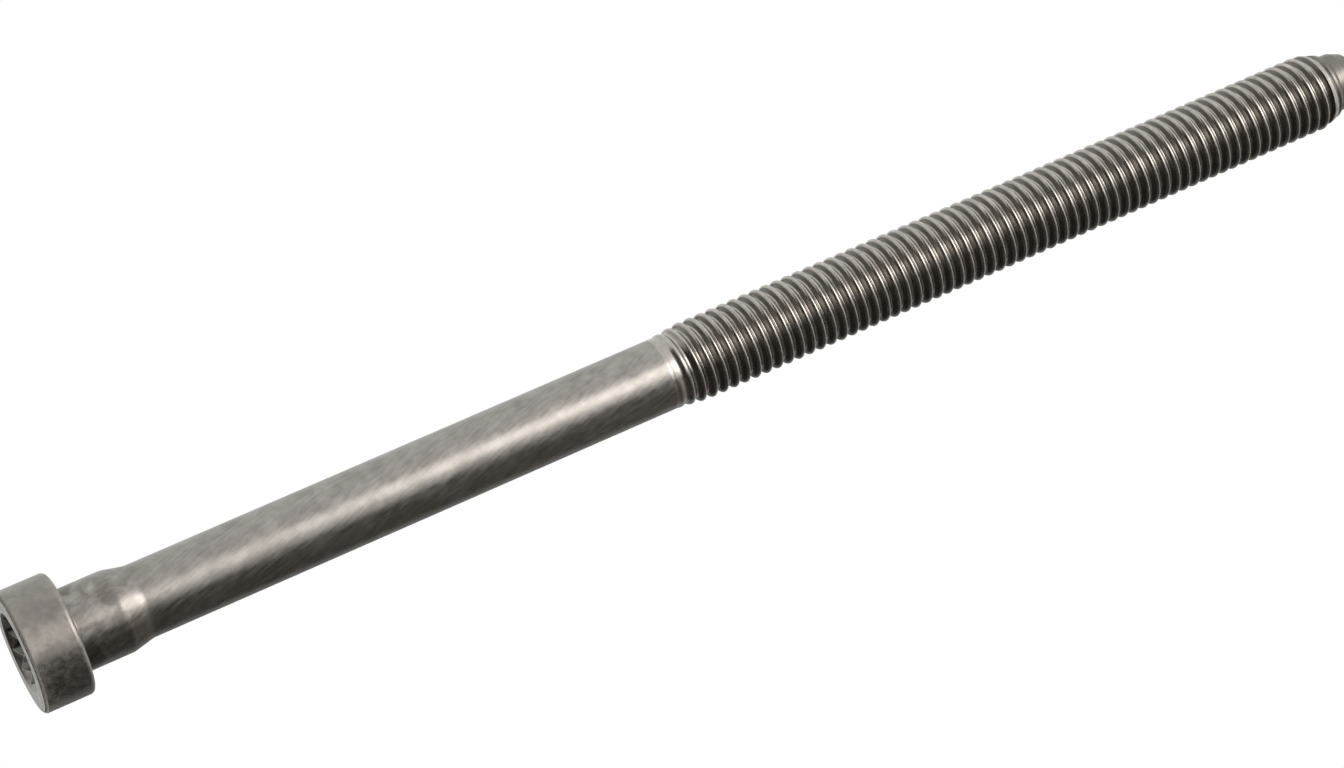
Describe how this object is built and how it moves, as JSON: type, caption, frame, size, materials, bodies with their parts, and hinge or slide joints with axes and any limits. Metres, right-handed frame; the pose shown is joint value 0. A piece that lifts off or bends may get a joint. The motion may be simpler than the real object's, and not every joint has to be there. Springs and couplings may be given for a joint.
{
  "type": "cylinder head bolt",
  "caption": "Long socket-head bolt with a twelve-point drive, a centring collar, a plain shank, a rolled thread over its outer half and a pilot point.",
  "frame": {"origin": "centre of the head's flat outer face, which the bolt stands on", "axes": "+Z along the bolt's axis, from the head to the tip; X and Y across the axis, along the sides of one square of the socket's star"},
  "size_m": [0.0148, 0.0148, 0.1822],
  "materials": {
    "steel": "satin grey alloy steel, quenched and tempered, lightly oiled, with no plating"
  },
  "bodies": {
    "root": {"head_bolt": "steel"}
  },
  "joints": []
}
